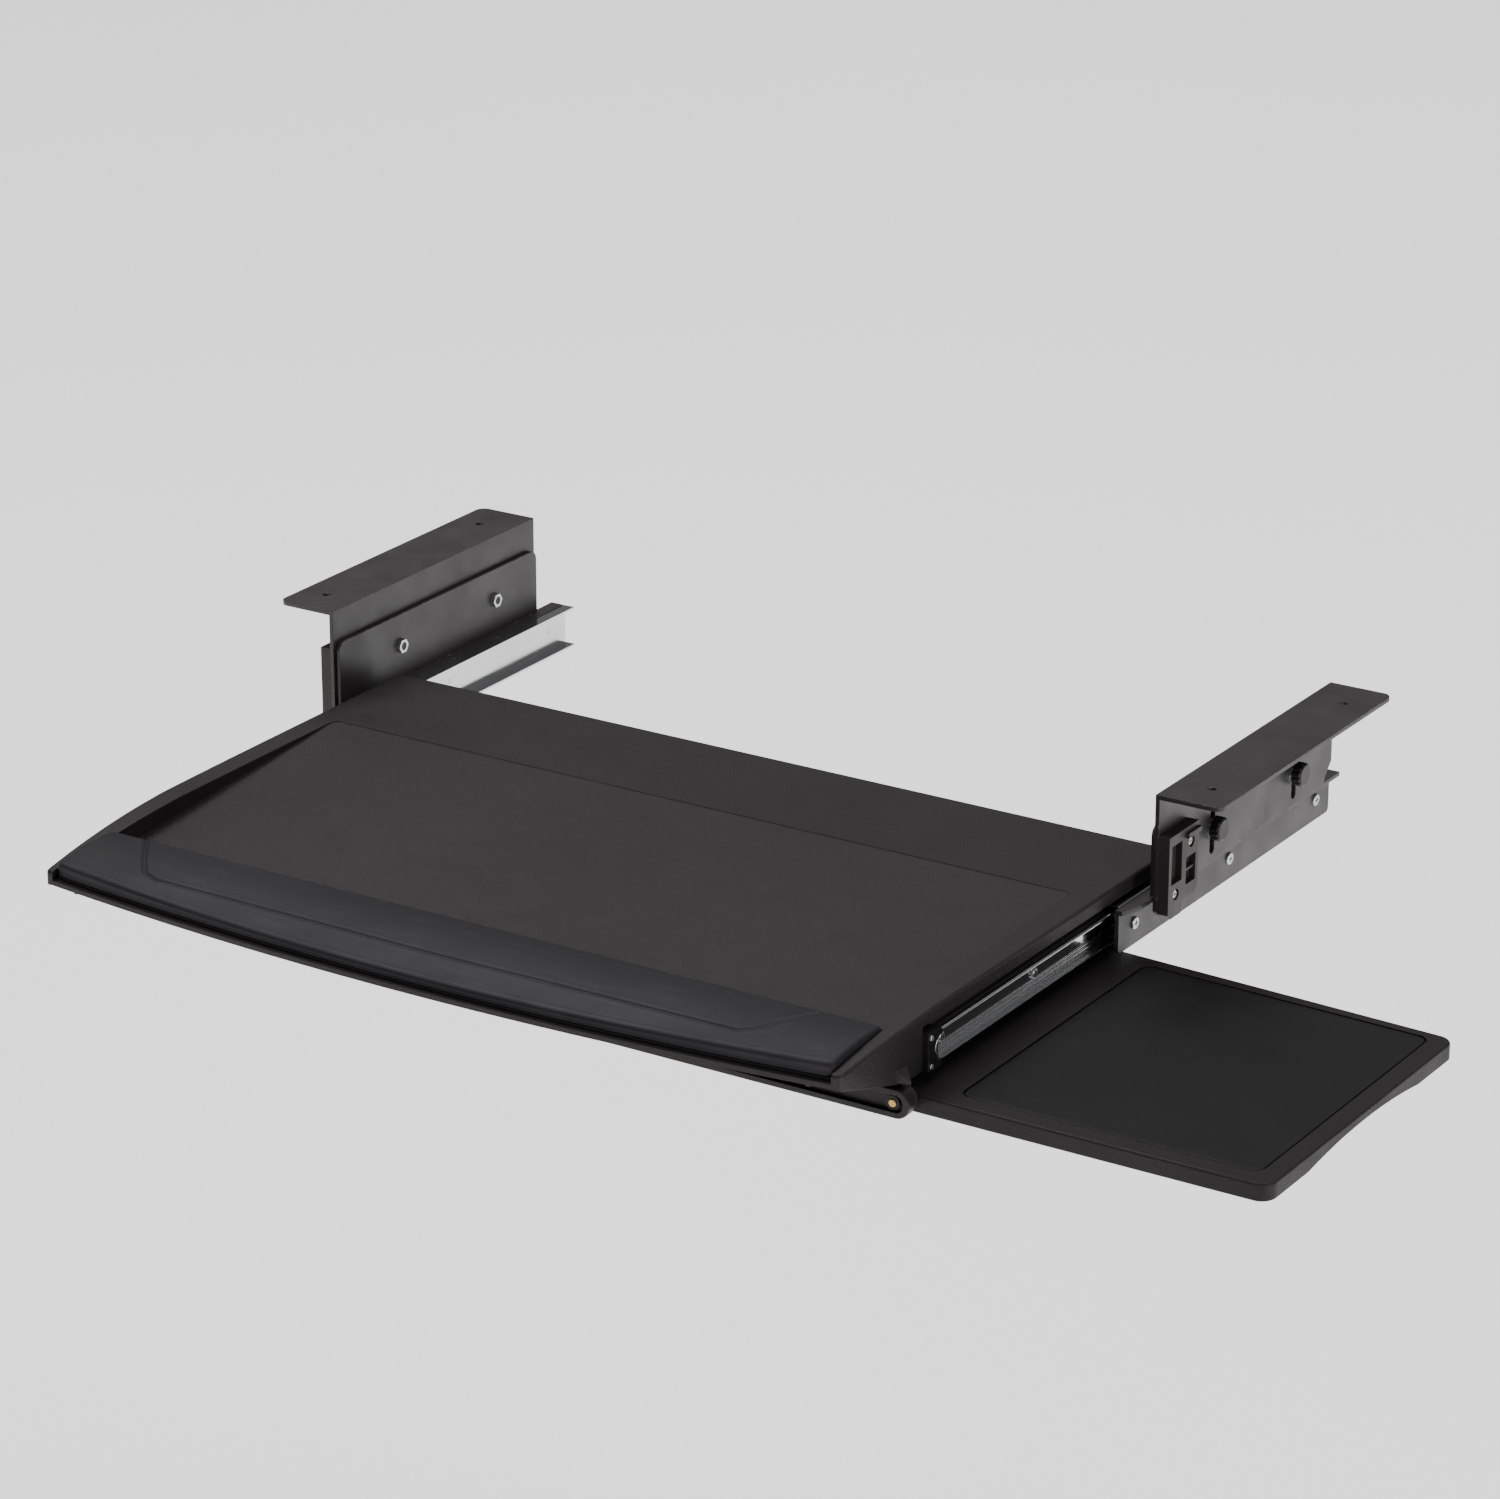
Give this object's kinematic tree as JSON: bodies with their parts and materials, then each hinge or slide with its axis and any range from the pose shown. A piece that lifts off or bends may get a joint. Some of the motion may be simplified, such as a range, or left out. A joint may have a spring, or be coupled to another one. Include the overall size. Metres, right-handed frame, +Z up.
{
  "type": "under-desk keyboard drawer",
  "caption": "Slide-out keyboard tray with a padded wrist rest and a sliding side mouse platform, hung under a desk on ball slides and height-adjustable brackets.",
  "frame": {"origin": "centre of the four desk-screw holes, on the underside of the desk", "axes": "+X to the user's right, +Y towards the back of the desk, +Z up"},
  "size_m": [0.7945, 0.544, 0.1046],
  "materials": {
    "tray_plastic": "fine moulded grain, matte",
    "rest_skin": "soft smooth skin, satin",
    "plate_plastic": "plain moulded",
    "zinc_slide": "bright zinc plate",
    "ball_steel": "polished, lightly greased",
    "retainer_plastic": "plain moulded",
    "stop_plastic": "plain moulded",
    "fastener_steel": "bright zinc",
    "black_steel": "black powder coat, fine texture",
    "guide_plastic": "fine moulded grain",
    "knob_plastic": "satin moulded",
    "rail_plastic": "fine moulded grain",
    "brass_pin": "turned, light tarnish",
    "bush_plastic": "plain moulded",
    "bumper_rubber": "matte",
    "platform_plastic": "fine moulded grain, matte",
    "pad_surface": "smooth hard-wearing film on thin foam"
  },
  "bodies": {
    "desk_brackets": {"left_desk_bracket": "black_steel", "right_desk_bracket": "black_steel", "left_guide_block": "guide_plastic", "right_guide_block": "guide_plastic", "guide_block_screws": "fastener_steel"},
    "hangers": {"left_hanger": "black_steel", "right_hanger": "black_steel", "height_lock_screws": "knob_plastic", "height_lock_washers": "fastener_steel", "height_lock_nuts": "fastener_steel", "left_slide_outer": "zinc_slide", "right_slide_outer": "zinc_slide", "slide_rivets": "fastener_steel"},
    "right_cage": {"right_ball_retainer": "retainer_plastic", "right_slide_balls": "ball_steel"},
    "left_cage": {"left_ball_retainer": "retainer_plastic", "left_slide_balls": "ball_steel"},
    "drawer": {"keyboard_tray": "tray_plastic", "wrist_rest": "rest_skin", "wrist_rest_plate": "plate_plastic", "left_slide_inner": "zinc_slide", "right_slide_inner": "zinc_slide", "left_slide_end_stop": "stop_plastic", "right_slide_end_stop": "stop_plastic", "end_stop_rivets": "fastener_steel", "end_stop_clips": "fastener_steel", "slide_screws": "fastener_steel", "front_guide_rail": "rail_plastic", "rear_guide_rail": "rail_plastic", "rail_pins": "brass_pin", "rail_bushes": "bush_plastic", "rail_screws": "fastener_steel", "platform_stop_pegs": "fastener_steel", "stow_bumpers": "bumper_rubber"},
    "mouse_tray": {"mouse_platform": "platform_plastic", "mouse_pad": "pad_surface"}
  },
  "joints": [
    {"name": "height_adjust", "type": "slide", "parent": "desk_brackets", "child": "hangers", "axis": [0, 0, 1], "range_m": [-0.0127, 0.0127]},
    {"name": "drawer_slide", "type": "slide", "parent": "hangers", "child": "drawer", "axis": [0, 1, 0], "range_m": [0, 0.188]},
    {"name": "right_cage_slide", "type": "slide", "parent": "hangers", "child": "right_cage", "axis": [0, 1, 0], "range_m": [0, 0.094]},
    {"name": "left_cage_slide", "type": "slide", "parent": "hangers", "child": "left_cage", "axis": [0, 1, 0], "range_m": [0, 0.094]},
    {"name": "mouse_tray_slide", "type": "slide", "parent": "drawer", "child": "mouse_tray", "axis": [1, 0, 0], "range_m": [-0.2045, 0]}
  ],
  "couplings": [
    {"joint": "right_cage_slide", "follows": "drawer_slide", "ratio": 0.5},
    {"joint": "left_cage_slide", "follows": "drawer_slide", "ratio": 0.5}
  ]
}
